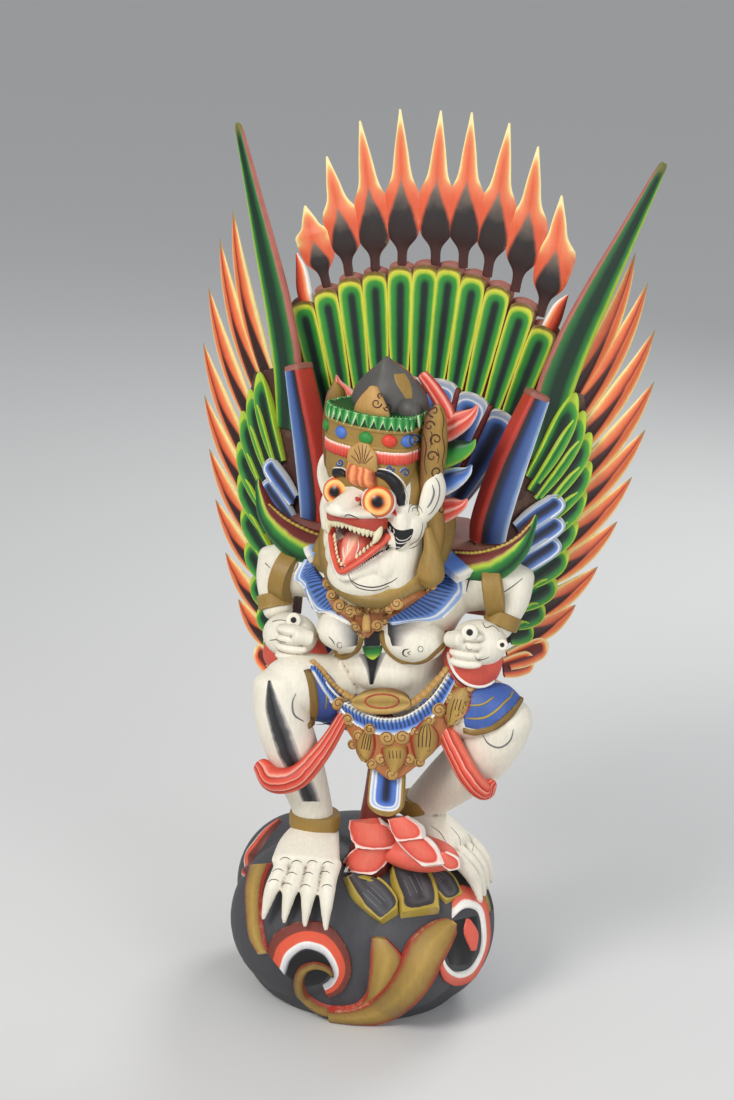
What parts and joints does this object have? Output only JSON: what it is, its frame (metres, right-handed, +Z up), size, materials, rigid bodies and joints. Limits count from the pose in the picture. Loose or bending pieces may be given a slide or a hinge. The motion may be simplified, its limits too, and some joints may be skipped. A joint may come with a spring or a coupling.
{
  "type": "winged figure carving",
  "caption": "Carved and painted wooden bird-man standing on a scrolled rock, with lift-out feathered wings and a tail fan under a crest of flame spikes; a freestanding ornament.",
  "frame": {"origin": "on the flat underside of the rock, below the middle of the yoke", "axes": "+Z up along the figure, -Y out of the figure's chest, +X to the figure's left"},
  "size_m": [0.4828, 0.2743, 0.9],
  "materials": {
    "figure_paint": "matt brush-painted carved wood, bone white with gold, blue and red dress",
    "right_wing_paint": "matt brush-painted carved wood, orange and green quills",
    "left_wing_paint": "matt brush-painted carved wood, orange and green quills",
    "tail_fan_paint": "matt brush-painted carved wood, green feathers under orange spikes"
  },
  "bodies": {
    "root": {"figure_on_rock": "figure_paint", "right_wing": "right_wing_paint", "left_wing": "left_wing_paint", "tail_fan": "tail_fan_paint"}
  },
  "joints": []
}
